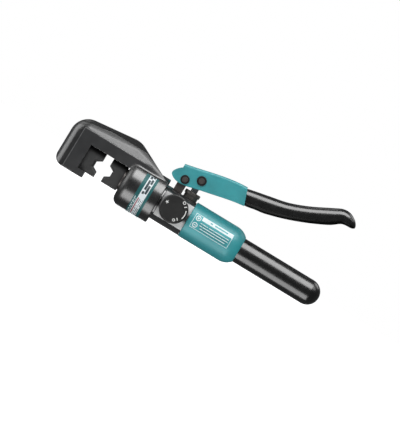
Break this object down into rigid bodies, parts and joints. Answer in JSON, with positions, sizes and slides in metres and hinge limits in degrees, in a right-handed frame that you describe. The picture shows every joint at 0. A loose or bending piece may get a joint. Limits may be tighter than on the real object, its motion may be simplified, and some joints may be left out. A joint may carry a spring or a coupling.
{
  "type": "hydraulic crimping tool",
  "caption": "Hand-pumped hydraulic crimping tool with a C-shaped swivelling head, hexagon dies, release knob, pump lever and fixed handle.",
  "frame": {"origin": "on the ram axis at the fixed die's parting face, in the middle of the tool's thickness", "axes": "+X along the ram axis from the head to the end of the fixed handle, +Z towards the pump lever, -Y out of the face with the release knob"},
  "size_m": [0.299, 0.0518, 0.1147],
  "materials": {
    "head_black": "semi-gloss black paint over forged steel",
    "die_black": "black-oxide tool steel",
    "steel": "ground or turned steel",
    "spring_steel": "drawn spring wire",
    "block_black": "gloss black paint",
    "dark_steel": "blackened steel",
    "teal": "gloss teal paint",
    "knob_black": "fine-textured moulded plastic",
    "grip_black": "glossy moulded cover",
    "rubber": "matt nitrile rubber",
    "label": null,
    "sleeve_print": null
  },
  "bodies": {
    "pump": {"pump_body": "block_black", "swivel_ring": "spring_steel", "swivel_oring": "rubber", "suction_ball": "steel", "suction_spring": "spring_steel", "suction_seat": "steel", "delivery_ball": "steel", "delivery_spring": "spring_steel", "delivery_screw": "steel", "relief_ball": "steel", "relief_spring": "spring_steel", "relief_screw": "dark_steel", "spindle_bush": "dark_steel", "fulcrum_post": "dark_steel", "post_pin": "dark_steel", "fulcrum_pin": "dark_steel", "fulcrum_pin_clips": "die_black", "packing_gland": "dark_steel", "gland_packing": "rubber", "sleeve": "teal", "sleeve_label": "sleeve_print", "reservoir_tube": "steel", "reservoir_plug": "steel", "plug_oring": "rubber", "oil_bladder": "rubber", "bladder_clamp": "steel", "handle_cover": "grip_black"},
    "head": {"crimp_head": "head_black", "head_label_band": "label", "fixed_die": "die_black", "fixed_die_screw": "dark_steel", "return_spring": "spring_steel"},
    "ram": {"ram": "steel", "piston_seal": "rubber", "die_holder": "dark_steel", "moving_die": "die_black"},
    "knob": {"valve_knob": "knob_black", "knob_screw": "dark_steel", "release_spindle": "steel", "spindle_oring": "rubber"},
    "lever": {"lever_fork": "teal", "lever_arm": "steel", "lever_grip": "grip_black", "plunger_pin": "dark_steel", "plunger_pin_clips": "die_black"},
    "plunger": {"plunger": "steel"}
  },
  "joints": [
    {"name": "head_swivel", "type": "hinge", "parent": "pump", "child": "head", "pos_m": [0.065, 0, 0], "axis": [1, 0, 0], "range_deg": [-180, 180]},
    {"name": "ram_slide", "type": "slide", "parent": "head", "child": "ram", "axis": [-1, 0, 0], "range_m": [0, 0.00895], "deforming": ["return_spring"]},
    {"name": "knob_turn", "type": "hinge", "parent": "pump", "child": "knob", "pos_m": [0.0857, -0.02, 0.0013], "axis": [0, -1, 0], "range_deg": [0, 90]},
    {"name": "lever_pivot", "type": "hinge", "parent": "pump", "child": "lever", "pos_m": [0.08, 0, 0.0322], "axis": [0, -1, 0], "range_deg": [-14, 30]},
    {"name": "plunger_slide", "type": "slide", "parent": "pump", "child": "plunger", "axis": [0, 0, 1], "range_m": [-0.00332, 0.0071]}
  ],
  "couplings": [
    {"joint": "plunger_slide", "follows": "lever_pivot", "m_per_rad": 0.01354}
  ]
}
